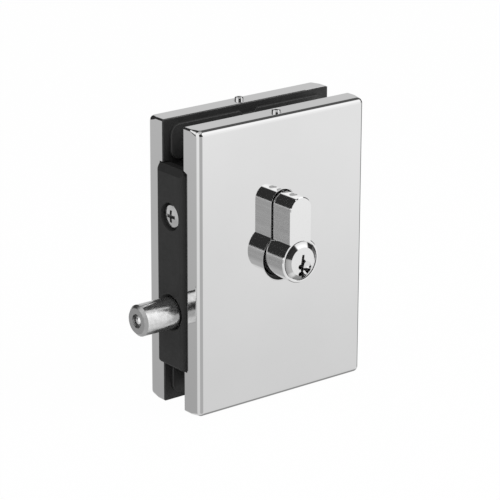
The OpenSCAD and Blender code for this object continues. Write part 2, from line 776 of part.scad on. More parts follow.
// Leaf spring with a round crest that drops into the carriage's notches
module detent_leaf() {
    half = detent_leaf_t / 2;
    along_y(-detent_leaf_y, detent_leaf_y) translate([detent_x, detent_z]) difference() {
        union() {
            span(-detent_half_len, -half, detent_half_len, half);
            intersection() {
                circle(r = detent_r);
                span(-detent_r, -half, detent_r, detent_r);
            }
        }
        intersection() {
            circle(r = detent_r - detent_leaf_t);
            span(-detent_r, -detent_r, detent_r, detent_r);
        }
    }
}

// Pan head screw with a cross recess that holds the cylinder
module fixing_screw_body() {
    head_r = fixing_head_d / 2;
    seat_x = forend_x0 + fixing_recess;
    top_x = seat_x - fixing_head_h;
    blade = [fixing_head_d * 0.56, fixing_head_d * 0.15];
    difference() {
        union() {
            translate([seat_x, 0, fixing_z]) rotate([0, -90, 0]) rotate_extrude() polygon([
                [0, 0], [head_r, 0], [head_r, fixing_head_h * 0.75],
                [head_r - fixing_head_h * 0.15, fixing_head_h], [0, fixing_head_h]
            ]);
            along_x(seat_x - over / 4, fixing_tip_x) translate([0, fixing_z]) circle(r = fixing_d / 2);
        }
        along_x(top_x - over, top_x + fixing_head_h * 0.7) translate([0, fixing_z]) {
            square(blade, center = true);
            square([blade[1], blade[0]], center = true);
        }
    }
}

module front_cover() {
    color("gainsboro") difference() {
        cover();
        forend_slot();
    }
}
module rear_cover() {
    color("gainsboro") difference() {
        to_rear() cover();
        forend_slot();
    }
}
module front_clamp_plate() { color("#202020") clamp_plate(clamp_r + seat_gap, true); }
module rear_clamp_plate() { color("#202020") to_rear() clamp_plate(clamp_r + run_gap, false); }
module front_gasket() { color("#161616") gasket(); }
module rear_gasket() { color("#161616") to_rear() gasket(); }
module lock_case() { color("#343434") lock_case_body(); }
module case_lid() { color("#3c3c3c") case_lid_sheet(); }
module case_lid_screws() { color("silver") for (p = lid_screw_at) translate([p[0], 0, p[1]]) lid_screw(); }
module clamp_screws() { color("dimgray") for (p = clamp_at) translate([p[0], 0, p[1]]) clamp_screw(); }
module front_grub_screw() { color("silver") grub_screw(); }
module rear_grub_screw() { color("silver") to_rear() grub_screw(); }
module cylinder_housing() { color("lightgray") housing(); }
module fixing_screw() { color("silver") fixing_screw_body(); }
module front_plug() { color("lightgray") plug(); }
module rear_plug() { color("lightgray") to_rear() plug(); }
module cam() {
    color("darkgray") along_y(-cam_y, cam_y) at_key() rotate(-cam_rest) difference() {
        cam_outline();
        circle(r = clutch_r + run_gap);
    }
}
module clutch() {
    color("gray") {
        along_y(seat_gap - cam_y, cam_y - seat_gap) at_key() circle(r = clutch_r);
        along_y(-clutch_tongue_y, seat_gap - cam_y) at_key()
            square([2 * (clutch_r - seat_gap), clutch_tongue_w], center = true);
    }
}
module front_plug_clip() { color("dimgray") plug_clip(); }
module rear_plug_clip() { color("dimgray") to_rear() plug_clip(); }
module front_key_pins() { color("goldenrod") at_front_pins() key_pin(); }
module rear_key_pins() { color("goldenrod") to_rear() at_front_pins() key_pin(); }
module driver_pins() {
    color("silver") at_all_pins() translate([0, 0, driver_z0]) cylinder(r = pin_r, h = driver_z1 - driver_z0);
}
module pin_springs() { color("gray") at_all_pins() pin_spring(); }
module chamber_plugs() {
    color("gray") intersection() {
        at_all_pins() translate([0, 0, chamber_plug_z0]) cylinder(r = chamber_r - run_gap / 2, h = cyl_h);
        along_y(-cyl_y, cyl_y) at_key() profile(-chamber_plug_in, -chamber_plug_in);
    }
}
module bolt() { color("darkgray") bolt_bar(); }
module bolt_carriage() { color("gray") carriage(); }
module bolt_pin() {
    color("dimgray") along_y(seat_gap - bolt_shank_r, bolt_shank_r - seat_gap)
        translate([bolt_pin_x, bolt_z]) circle(r = bolt_pin_r);
}
module detent_spring() { color("silver") detent_leaf(); }

front_cover();
rear_cover();
front_clamp_plate();
rear_clamp_plate();
front_gasket();
rear_gasket();
lock_case();
case_lid();
case_lid_screws();
clamp_screws();
front_grub_screw();
rear_grub_screw();
cylinder_housing();
fixing_screw();
front_plug();
rear_plug();
cam();
clutch();
front_plug_clip();
rear_plug_clip();
front_key_pins();
rear_key_pins();
driver_pins();
pin_springs();
chamber_plugs();
bolt();
bolt_carriage();
bolt_pin();
detent_spring();
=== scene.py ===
"""Looks of a glass-door patch lock: mirror covers, black clamp plates, a dark case with a round bolt and a
nickel profile cylinder. Lengths are in metres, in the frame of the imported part."""

import json
import math

import bpy
import numpy as np
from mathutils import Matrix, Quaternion, Vector


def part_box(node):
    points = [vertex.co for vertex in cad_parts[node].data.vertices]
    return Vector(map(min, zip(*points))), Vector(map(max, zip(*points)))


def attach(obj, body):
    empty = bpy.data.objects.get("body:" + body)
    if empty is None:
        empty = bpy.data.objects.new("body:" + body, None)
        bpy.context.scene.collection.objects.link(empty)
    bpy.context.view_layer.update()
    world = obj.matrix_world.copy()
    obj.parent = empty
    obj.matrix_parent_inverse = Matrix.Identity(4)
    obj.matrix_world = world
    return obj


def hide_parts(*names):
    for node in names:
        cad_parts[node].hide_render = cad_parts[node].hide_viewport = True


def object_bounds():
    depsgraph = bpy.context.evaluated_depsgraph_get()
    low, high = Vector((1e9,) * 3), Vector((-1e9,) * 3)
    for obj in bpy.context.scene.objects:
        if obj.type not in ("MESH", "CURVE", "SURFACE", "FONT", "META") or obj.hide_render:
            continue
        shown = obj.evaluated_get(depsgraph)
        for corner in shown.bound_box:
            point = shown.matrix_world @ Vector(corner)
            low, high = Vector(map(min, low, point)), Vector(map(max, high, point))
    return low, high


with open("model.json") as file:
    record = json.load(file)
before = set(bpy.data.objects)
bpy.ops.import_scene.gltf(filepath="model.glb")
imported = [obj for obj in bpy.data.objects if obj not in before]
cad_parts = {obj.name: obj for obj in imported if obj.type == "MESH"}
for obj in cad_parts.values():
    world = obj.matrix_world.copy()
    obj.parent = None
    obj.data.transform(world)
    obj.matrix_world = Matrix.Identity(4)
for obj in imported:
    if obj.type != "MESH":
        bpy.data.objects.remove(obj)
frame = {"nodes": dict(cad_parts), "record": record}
cad_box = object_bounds()
nodes = frame["nodes"]
scene = bpy.context.scene
scene.view_settings.view_transform = "Standard"

MM = 0.001
QUARTER_TURN = math.pi / 2
FULL_TURN = 2 * math.pi


# Camera at the photograph's angle
FRAME_PX = 500
FOCAL_PX = 2507.8
SENSOR = 36.0
CAMERA_AT = Vector((-557.5, -699.1, 302.9)) * MM
CAMERA_YAW = math.radians(38.41)
CAMERA_PITCH = math.radians(18.79)
CAMERA_ROLL = math.radians(0.22)
CAMERA_NEAR = 0.01
CAMERA_FAR = 50


def place_camera():
    """Camera at CAMERA_AT, turned by the yaw to the right of +Y and by the pitch below the horizon, and
    rolled a little about its own view axis."""
    data = bpy.data.cameras.new("photo_camera")
    data.sensor_width = SENSOR
    data.lens = FOCAL_PX / FRAME_PX * SENSOR
    data.clip_start = CAMERA_NEAR
    data.clip_end = CAMERA_FAR
    camera = bpy.data.objects.new("photo_camera", data)
    scene.collection.objects.link(camera)
    ahead = Vector((
        math.sin(CAMERA_YAW) * math.cos(CAMERA_PITCH),
        math.cos(CAMERA_YAW) * math.cos(CAMERA_PITCH),
        -math.sin(CAMERA_PITCH),
    ))
    level = ahead.to_track_quat("-Z", "Y")
    camera.location = CAMERA_AT
    camera.rotation_euler = (level @ Quaternion((0, 0, 1), CAMERA_ROLL)).to_euler()
    scene.camera = camera


place_camera()


# Materials
class Finish:
    """A material with a Principled shader and short ways to add the nodes that vary it."""

    def __init__(self, name, colour, metallic, roughness):
        self.material = bpy.data.materials.new(name)
        self.material.use_nodes = True
        self.tree = self.material.node_tree
        self.shader = self.tree.nodes["Principled BSDF"]
        self.set("Base Color", (*colour, 1.0))
        self.set("Metallic", metallic)
        self.set("Roughness", roughness)
        places = self.tree.nodes.new("ShaderNodeTexCoord").outputs
        self.coords = places["Object"]
        self.facing = places["Normal"]

    def set(self, socket, value):
        self.shader.inputs[socket].default_value = value

    def link(self, source, target):
        self.tree.links.new(source, target)

    def stretched(self, scale):
        """Object coordinates multiplied axis by axis, so that a pattern runs along the axis with the
        smallest factor."""
        node = self.tree.nodes.new("ShaderNodeMapping")
        node.inputs["Scale"].default_value = scale
        self.link(self.coords, node.inputs["Vector"])
        return node.outputs["Vector"]

    def noise(self, scale, detail=3.0, vector=None, roughness=0.5):
        node = self.tree.nodes.new("ShaderNodeTexNoise")
        node.inputs["Scale"].default_value = scale
        node.inputs["Detail"].default_value = detail
        node.inputs["Roughness"].default_value = roughness
        self.link(vector or self.coords, node.inputs["Vector"])
        return node.outputs["Fac"]

    def ramp(self, source, stops):
        """Colour ramp from (place, grey or colour) stops."""
        node = self.tree.nodes.new("ShaderNodeValToRGB")
        elements = node.color_ramp.elements
        while len(elements) < len(stops):
            elements.new(0.5)
        for element, (place, colour) in zip(elements, stops):
            element.position = place
            rgb = colour if isinstance(colour, tuple) else (colour,) * 3
            element.color = (*rgb, 1.0)
        self.link(source, node.inputs["Fac"])
        return node.outputs["Color"]

    def span(self, source, low, high, from_low=0.3, from_high=0.7):
        """Maps a range of a number, by default a pattern's middle range, to low and high, and no further."""
        node = self.tree.nodes.new("ShaderNodeMapRange")
        node.inputs["From Min"].default_value = from_low
        node.inputs["From Max"].default_value = from_high
        node.inputs["To Min"].default_value = low
        node.inputs["To Max"].default_value = high
        self.link(source, node.inputs["Value"])
        return node.outputs["Result"]

    def part(self, vector, axis):
        """One coordinate of a vector."""
        node = self.tree.nodes.new("ShaderNodeSeparateXYZ")
        self.link(vector, node.inputs["Vector"])
        return node.outputs[axis]

    def off_axis(self, z):
        """Distance from an axis along the width at a height."""
        flat = self.tree.nodes.new("ShaderNodeMapping")
        flat.inputs["Location"].default_value = (0, 0, -z)
        flat.inputs["Scale"].default_value = (0, 1, 1)
        self.link(self.coords, flat.inputs["Vector"])
        node = self.tree.nodes.new("ShaderNodeVectorMath")
        node.operation = "LENGTH"
        self.link(flat.outputs["Vector"], node.inputs[0])
        return node.outputs["Value"]

    def size_of(self, source):
        """A number without its sign."""
        node = self.tree.nodes.new("ShaderNodeMath")
        node.operation = "ABSOLUTE"
        self.link(source, node.inputs[0])
        return node.outputs["Value"]

    def carried(self, name):
        """A number that the piece's own points carry, 0 where they carry none."""
        node = self.tree.nodes.new("ShaderNodeAttribute")
        node.attribute_name = name
        return node.outputs["Fac"]

    def blend(self, share, first, second):
        """A number or pattern that gives way to another by a share."""
        node = self.tree.nodes.new("ShaderNodeMix")
        node.data_type = "FLOAT"
        self.link(share, node.inputs["Factor"])
        for socket, value in (("A", first), ("B", second)):
            if isinstance(value, float):
                node.inputs[socket].default_value = value
            else:
                self.link(value, node.inputs[socket])
        return node.outputs["Result"]

    def to(self, socket, source):
        self.link(source, self.shader.inputs[socket])

    def bump(self, source, height, strength):
        node = self.tree.nodes.new("ShaderNodeBump")
        node.inputs["Distance"].default_value = height
        node.inputs["Strength"].default_value = strength
        self.link(source, node.inputs["Height"])
        self.to("Normal", node.outputs["Normal"])


def polished_steel():
    """Mirror-polished sheet: faint polishing clouds in roughness and a trace of waviness."""
    f = Finish("polished_steel", (0.87, 0.87, 0.87), 1.0, 0.03)
    f.to("Roughness", f.span(f.noise(60, 4), 0.02, 0.045))
    f.to("Base Color", f.span(f.noise(25, 3), 0.855, 0.885))
    f.bump(f.noise(18, 1), 0.04 * MM, 0.25)
    return f


def black_casting():
    """Black coated casting with a fine grain."""
    f = Finish("black_casting", (0.029, 0.029, 0.029), 0.0, 0.5)
    f.to("Base Color", f.span(f.noise(160, 4), 0.026, 0.032))
    f.to("Roughness", f.span(f.noise(400, 3), 0.42, 0.6))
    f.bump(f.noise(2600, 2), 0.05 * MM, 0.5)
    return f


def black_rubber():
    """Black moulded rubber with a fine speckle."""
    f = Finish("black_rubber", (0.036, 0.036, 0.036), 0.0, 0.45)
    f.to("Base Color", f.span(f.noise(900, 3), 0.032, 0.04))
    f.to("Roughness", f.span(f.noise(500, 2), 0.4, 0.5))
    f.bump(f.noise(3800, 2), 0.02 * MM, 0.3)
    return f


# Recess around the fixing screw: height of its axis, radii between which its painted light, a greyer coating
# colour, gives way to the plain coating, and places along the width between which it does so behind the
# forend
RECESS_Z = 19.9 * MM
RECESS_PAINTED_LIGHT_FULL = 5.2 * MM
RECESS_PAINTED_LIGHT_END = 5.5 * MM
FOREND_PAINTED_LIGHT_FULL = -38.0 * MM
FOREND_PAINTED_LIGHT_END = -36.0 * MM


def dark_case():
    """Satin dark coating with a soft orange peel, and painted light in the recess around the fixing screw,
    whose coating is painted greyer there to lift the recess's shade."""
    f = Finish("dark_case", (0.022, 0.022, 0.022), 0.0, 0.45)
    f.set("Specular IOR Level", 0.3)
    # Painted light: the coating's colour is raised to a grey in the recess around the fixing screw, behind
    # the forend.
    round_screw = f.span(f.off_axis(RECESS_Z), 1.0, 0.0, RECESS_PAINTED_LIGHT_FULL, RECESS_PAINTED_LIGHT_END)
    in_forend = f.span(f.part(f.coords, "X"), 1.0, 0.0, FOREND_PAINTED_LIGHT_FULL, FOREND_PAINTED_LIGHT_END)
    recess = f.blend(in_forend, 0.0, round_screw)
    coating = f.noise(120, 4)
    f.to("Base Color", f.blend(recess, f.span(coating, 0.0195, 0.0245), f.span(coating, 0.08, 0.09)))
    f.to("Roughness", f.span(f.noise(700, 3), 0.4, 0.52))
    f.bump(f.noise(1500, 1), 0.03 * MM, 0.35)
    return f


def nickel_brass():
    """Nickel plate: bright turned ends, and satin sides with fine lines drawn along the cylinder."""
    f = Finish("nickel_brass", (0.97, 0.97, 0.97), 1.0, 0.1)
    drawn = f.noise(1.0, 4, f.stretched((5200, 60, 5200)), 0.6)
    broad = f.noise(1.0, 3, f.stretched((900, 25, 900)))
    side = f.span(f.size_of(f.part(f.facing, "X")), 0.0, 1.0, 0.93, 0.998)
    f.to("Base Color", f.blend(side, 0.97, f.span(broad, 0.66, 0.8)))
    f.to("Roughness", f.blend(side, 0.07, f.span(drawn, 0.2, 0.32)))
    f.bump(drawn, 0.012 * MM, 0.25)
    return f


# Distances from the middle of the glass: the keyway is dark and not metallic up to the first, metallic from
# the second and bright from the third
KEYWAY_DARK = 24.6 * MM
KEYWAY_METALLIC = 26.0 * MM
KEYWAY_LIGHT = 26.8 * MM


def plug_nickel():
    """Bright turned nickel that darkens down the keyway."""
    f = Finish("plug_nickel", (0.96, 0.96, 0.96), 1.0, 0.1)
    depth = f.size_of(f.part(f.coords, "Y"))
    f.to("Base Color", f.span(depth, 0.1, 0.96, KEYWAY_DARK, KEYWAY_LIGHT))
    f.to("Metallic", f.span(depth, 0.0, 1.0, KEYWAY_DARK, KEYWAY_METALLIC))
    f.to("Roughness", f.span(f.noise(900, 3), 0.07, 0.14))
    return f


def screw_steel():
    """Bright zinc plate, smooth with a faint cloud, with painted shade in its recesses."""
    f = Finish("screw_steel", (0.85, 0.85, 0.85), 1.0, 0.12)
    # Painted shade: points that carry the painted recess shade get a dark grey in place of the zinc, and more
    # roughness.
    painted_recess_shade = f.carried("painted_recess_shade")
    f.to("Base Color", f.blend(painted_recess_shade, f.span(f.noise(500, 3), 0.82, 0.92), 0.22))
    f.to("Roughness", f.blend(painted_recess_shade, f.span(f.noise(900, 3), 0.09, 0.17), 0.5))
    return f


# Bolt: height of its axis, its radius, and shares of the radius: where its stud ends, where its hollow, end
# ring and bevel start, and how wide the change at a ring's edge is
BOLT_Z = -17.2 * MM
BOLT_R = 6.0 * MM
BOLT_STUD = 0.26
BOLT_HOLLOW = 0.32
BOLT_RING = 0.45
BOLT_BEVEL = 0.82
BOLT_CHANGE = 0.02


def worn_zinc():
    """Bright zinc plate on a turned bar, lightly mottled, with tiny pits. The end is duller, with a bright
    stud, painted shade in the hollow around it and a little painted shade on its bevel."""
    f = Finish("worn_zinc", (0.82, 0.82, 0.82), 1.0, 0.22)
    mottle = [(0.26, 0.5), (0.42, 0.78), (0.6, 0.9), (0.75, 0.97)]
    patches = f.ramp(f.noise(520, 6, roughness=0.65), mottle)
    end = f.span(f.size_of(f.part(f.facing, "X")), 0.0, 1.0, 0.3, 0.8)
    out = f.span(f.off_axis(BOLT_Z), 0.0, 1.0, 0.0, BOLT_R)
    # Painted shade: the hollow round the stud is painted near black and the bevel darker than the end ring;
    # the bright stud and the duller end ring are their own colours.
    end_tone_and_painted_shade = [
        (BOLT_STUD, 0.95), (BOLT_HOLLOW, 0.14),
        (BOLT_RING - BOLT_CHANGE, 0.14), (BOLT_RING, 0.58),
        (BOLT_BEVEL - BOLT_CHANGE, 0.58), (BOLT_BEVEL, 0.45),
    ]
    dull = [
        (BOLT_STUD, 0.12), (BOLT_HOLLOW, 0.3),
        (BOLT_RING - BOLT_CHANGE, 0.3), (BOLT_RING, 0.38),
    ]
    f.to("Base Color", f.blend(end, patches, f.ramp(out, end_tone_and_painted_shade)))
    f.to("Roughness", f.blend(end, f.span(f.noise(700, 4), 0.16, 0.3), f.ramp(out, dull)))
    f.bump(f.noise(1800, 4), 0.02 * MM, 0.35)
    return f


def nickel_silver():
    """Plain turned nickel silver."""
    f = Finish("nickel_silver", (0.6, 0.58, 0.53), 1.0, 0.28)
    tone = [(0.3, (0.54, 0.52, 0.48)), (0.7, (0.66, 0.64, 0.58))]
    f.to("Base Color", f.ramp(f.noise(1200, 3), tone))
    f.to("Roughness", f.span(f.noise(2500, 2), 0.22, 0.36))
    return f


def peened_steel():
    """Dull peened ends of small plugs."""
    f = Finish("peened_steel", (0.45, 0.45, 0.45), 1.0, 0.3)
    f.to("Base Color", f.span(f.noise(2400, 3), 0.4, 0.5))
    f.to("Roughness", f.span(f.noise(3200, 2), 0.25, 0.35))
    return f


def spring_steel():
    """Grey steel, oiled."""
    f = Finish("spring_steel", (0.42, 0.42, 0.43), 1.0, 0.3)
    f.to("Base Color", f.span(f.noise(800, 4), 0.33, 0.5))
    f.to("Roughness", f.span(f.noise(1500, 3), 0.24, 0.42))
    return f


FINISHES = {
    "polished_steel": polished_steel(),
    "black_casting": black_casting(),
    "black_rubber": black_rubber(),
    "dark_case": dark_case(),
    "nickel_brass": nickel_brass(),
    "screw_steel": screw_steel(),
    "worn_zinc": worn_zinc(),
    "nickel_silver": nickel_silver(),
    "peened_steel": peened_steel(),
    "spring_steel": spring_steel(),
}
PLUG_NICKEL = plug_nickel()
for part in frame["record"]["subparts"]:
    finish = PLUG_NICKEL if part["node"].endswith("_plug") else FINISHES[part["material_slot"]]
    solid = nodes[part["node"]]
    solid.data.materials.clear()
    solid.data.materials.append(finish.material)


# Computed pieces
SHARP = math.radians(35)
FRONT = -1
REAR = 1


def ring_quads(rows, around):
    """Quads between neighbouring rings of a grid that closes on itself around."""
    first = np.arange(rows - 1)[:, None] * around
    here = np.arange(around)[None, :]
    after = (here + 1) % around
    quads = np.stack([first + here, first + after, first + around + after, first + around + here], axis=-1)
    return quads.reshape(-1, 4)


def inside_out(points, quads):
    """True where the quads face inwards: the volume that they sweep about their middle is negative."""
    a, b, c, d = (points[quads[:, i]] - points.mean(axis=0) for i in range(4))
    return np.sum(a * np.cross(b, c)) + np.sum(a * np.cross(c, d)) < 0


def add_piece(name, shells, slot, node=None, painted_recess_shade=None, ends=True):
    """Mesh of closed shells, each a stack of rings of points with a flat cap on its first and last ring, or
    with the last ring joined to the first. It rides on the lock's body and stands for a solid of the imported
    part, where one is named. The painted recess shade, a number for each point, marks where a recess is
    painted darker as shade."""
    points = []
    faces = []
    for rings in shells:
        rows, around = rings.shape[:2]
        shell = rings.reshape(-1, 3)
        quads = ring_quads(rows, around)
        if ends:
            caps = np.array([np.arange(around)[::-1], np.arange(around) + (rows - 1) * around])
        else:
            quads = np.concatenate([quads, (ring_quads(2, around) + (rows - 1) * around) % len(shell)])
            caps = np.empty((0, around), int)
        if inside_out(shell, quads):
            quads, caps = quads[:, ::-1], caps[:, ::-1]
        start = sum(map(len, points))
        points.append(shell)
        faces += (quads + start).tolist() + (caps + start).tolist()
    mesh = bpy.data.meshes.new(name)
    mesh.from_pydata(np.concatenate(points).tolist(), [], faces)
    mesh.shade_smooth()
    mesh.set_sharp_from_angle(angle=SHARP)
    if painted_recess_shade is not None:
        mesh.attributes.new("painted_recess_shade", "FLOAT", "POINT").data.foreach_set("value", painted_recess_shade.ravel())
    mesh.materials.append(FINISHES[slot].material)
    piece = bpy.data.objects.new(name, mesh)
    scene.collection.objects.link(piece)
    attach(piece, "lock_body")
    if node:
        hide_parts(node)


def round_outline(corners, steps=9):
    """Closed outline through corners (x, z, radius) given anticlockwise, with an arc of the radius at each
    corner that touches both its sides. The arc runs about a centre on the corner's bisector, from the
    normal of one side to that of the next. Returns the points and their outward normals."""
    corners = np.array(corners)
    at, radius = corners[:, :2], corners[:, 2:]

    def unit(v):
        return v / np.linalg.norm(v, axis=1, keepdims=True)

    back = unit(np.roll(at, 1, axis=0) - at)
    ahead = unit(np.roll(at, -1, axis=0) - at)
    half = np.arccos(np.clip(np.sum(back * ahead, axis=1), -1, 1)) / 2
    bend = np.sign(back[:, 1] * ahead[:, 0] - back[:, 0] * ahead[:, 1])
    centre = at + unit(back + ahead) * radius / np.sin(half)[:, None]
    from_angle = np.arctan2(back[:, 0], -back[:, 1])
    angle = from_angle[:, None] + (bend * (math.pi - 2 * half))[:, None] * np.linspace(0, 1, steps)
    normal = np.stack([np.cos(angle), np.sin(angle)], axis=-1)
    points = centre[:, None] + (bend[:, None] * radius)[:, None] * normal
    return points.reshape(-1, 2), normal.reshape(-1, 2)


# Gasket: inner corner of its opening, dip below the grub screw, corner radii, and the radius and steps of
# its rim
GASKET_INNER_X = 22.65 * MM
GASKET_INNER_Z = 39.1 * MM
GASKET_DIP = 1.4 * MM
GASKET_DIP_HALF = 4.0 * MM
GASKET_DIP_SLANT = 1.3 * MM
GASKET_CORNER = 4.0 * MM
GASKET_SMALL_CORNER = 0.5 * MM
GASKET_RIM = 0.4 * MM
GASKET_RIM_STEPS = 6


def add_gasket(node, side):
    """Rubber pad with a round rim: the section of its wall, a straight foot and a quarter circle towards
    the glass, is carried around the outline."""
    low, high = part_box(node)
    arm = GASKET_INNER_Z
    dip_x, dip_z = GASKET_DIP_HALF, high.z - GASKET_DIP
    corner = GASKET_CORNER
    small = GASKET_SMALL_CORNER
    outline, outward = round_outline([
        (low.x, low.z, corner), (high.x, low.z, corner), (high.x, high.z, corner),
        (dip_x, high.z, small), (dip_x - GASKET_DIP_SLANT, dip_z, small),
        (GASKET_DIP_SLANT - dip_x, dip_z, small), (-dip_x, high.z, small),
        (low.x, high.z, corner), (low.x, arm, corner), (GASKET_INNER_X, arm, small),
        (GASKET_INNER_X, -arm, small), (low.x, -arm, corner),
    ])
    turn = np.linspace(0, QUARTER_TURN, GASKET_RIM_STEPS)
    inset = np.concatenate([[0], GASKET_RIM * (1 - np.cos(turn))])
    thick = high.y - low.y
    rise = np.concatenate([[0], thick - GASKET_RIM * (1 - np.sin(turn))])
    back_y = low.y if side == FRONT else high.y
    flat = outline[None] - inset[:, None, None] * outward[None]
    depth = np.broadcast_to(back_y - side * rise[:, None], flat.shape[:2])
    rings = np.stack([flat[..., 0], depth, flat[..., 1]], axis=-1)
    add_piece("moulded_" + node, [rings], "black_rubber", node)


# Points around a screw
SCREW_AROUND = 96


def thread_cut(along, angle, pitch):
    """How deep a helical vee groove is at a place along and around a screw, from 0 at the crest to 1 at the
    root."""
    phase = along / pitch - angle / FULL_TURN
    return 1 - np.abs(2 * (phase - np.floor(phase)) - 1)


def fade_ends(along, start, end, run):
    """1 along a thread, falling to 0 over a run at both its ends."""
    return np.clip((along - start) / run, 0, 1) * np.clip((end - along) / run, 0, 1)


# Grub screw: depth of its cup point and shares of the radius at the cup's floor and rim, then its thread
# and the rows along it
GRUB_CUP = 0.3 * MM
GRUB_CUP_FLOOR = 0.35
GRUB_CUP_RIM = 0.7
GRUB_PITCH = 0.7 * MM
GRUB_THREAD = 0.38 * MM
GRUB_ROWS = 90
# Its plain end, height above the cover, flange with its lower and upper face above the cover, neck and
# chamfer
GRUB_PLAIN = 1.5 * MM
GRUB_PROUD = 1.1 * MM
GRUB_FLANGE = 0.25 * MM
GRUB_FLANGE_LOW = 0.005 * MM
GRUB_FLANGE_HIGH = 0.02 * MM
GRUB_NECK = 1.65 * MM
GRUB_CHAMFER = 0.3 * MM
# Its socket: half the width, how far the mouth widens, depth of the mouth, and (depth, share of the width)
# below
GRUB_SOCKET = 1.05 * MM
GRUB_MOUTH = 1.06
GRUB_MOUTH_DEPTH = 0.1 * MM
GRUB_SOCKET_STEPS = [(0.3 * MM, 1.0), (1.8 * MM, 1.0), (2.2 * MM, 0.3)]


def add_grub_screw(node):
    """Grub screw about an upright axis: the radius is a function of height and angle, with a cup point, a
    vee thread that runs out below the cover, a thin flange on the cover, a slimmer neck, a chamfer, and a
    socket whose radius follows a hexagon."""
    low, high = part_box(node)
    middle = (low + high) / 2
    radius = (high.x - low.x) / 2
    angle = np.linspace(0, FULL_TURN, SCREW_AROUND, endpoint=False)
    ring = np.ones_like(angle)
    hexagon = GRUB_SOCKET / np.cos(np.mod(angle, math.pi / 3) - math.pi / 6)
    top = high.z
    thread_end = top - GRUB_PLAIN
    height = np.linspace(low.z + GRUB_CUP, thread_end, GRUB_ROWS)
    cut = GRUB_THREAD * fade_ends(height, height[0], thread_end, GRUB_PITCH)
    shank = radius - cut[:, None] * thread_cut(height[:, None], angle, GRUB_PITCH)
    cover_top = top - GRUB_PROUD
    flange_low = cover_top + GRUB_FLANGE_LOW
    flange_high = cover_top + GRUB_FLANGE_HIGH
    rim = radius + GRUB_FLANGE
    cup = [
        (low.z + GRUB_CUP, GRUB_CUP_FLOOR * radius * ring),
        (low.z, GRUB_CUP_RIM * radius * ring),
    ]
    head = [
        (flange_low, radius * ring), (flange_low, rim * ring),
        (flange_high, rim * ring), (flange_high, GRUB_NECK * ring),
        (top - GRUB_CHAMFER, GRUB_NECK * ring), (top, (GRUB_NECK - GRUB_CHAMFER) * ring),
        (top, hexagon * GRUB_MOUTH), (top - GRUB_MOUTH_DEPTH, hexagon),
    ]
    socket = [(top - deep, hexagon * share) for deep, share in GRUB_SOCKET_STEPS]
    radii = np.concatenate([[r for _, r in cup], shank, [r for _, r in head + socket]])
    heights = np.concatenate([[z for z, _ in cup], height, [z for z, _ in head + socket]])
    rings = np.stack([
        middle.x + radii * np.cos(angle), middle.y + radii * np.sin(angle),
        np.broadcast_to(heights[:, None], radii.shape),
    ], axis=-1)
    painted_recess_shade = np.zeros(radii.shape)
    # Painted shade: the socket's rows carry the painted recess shade.
    painted_recess_shade[-len(socket):] = 1
    add_piece("threaded_" + node, [rings], "screw_steel", node, painted_recess_shade)


# Fixing screw: head height, edge radius and crown with the rows over them, shank, length and share of the
# shank's radius of its point, and its thread with the rows along it and the share of a pitch that it ends
# before the point
FIXING_HEAD = 2.4 * MM
FIXING_EDGE = 0.7 * MM
FIXING_EDGE_ROWS = 8
FIXING_CROWN = 0.5 * MM
FIXING_CROWN_ROWS = 6
FIXING_SHANK = 2.5 * MM
FIXING_POINT = 0.9 * MM
FIXING_POINT_SHARE = 0.6
FIXING_PITCH = 0.8 * MM
FIXING_THREAD = 0.4 * MM
FIXING_THREAD_SHORT = 0.2
FIXING_ROWS = 320
# Its cross: half the length and half the width of the arms, room around it on the crown, and (share of its
# outline, depth) of its wall below the crown and of its floor below the top
CROSS_HALF = 2.35 * MM
CROSS_ARM = 0.62 * MM
CROSS_ROOM = 1.06
CROSS_WALL = [(0.97, 0.12 * MM), (0.95, 0.25 * MM)]
CROSS_FLOOR = [(0.6, 1.4 * MM), (0.1, 1.7 * MM)]
NEARLY_ZERO = 1e-6


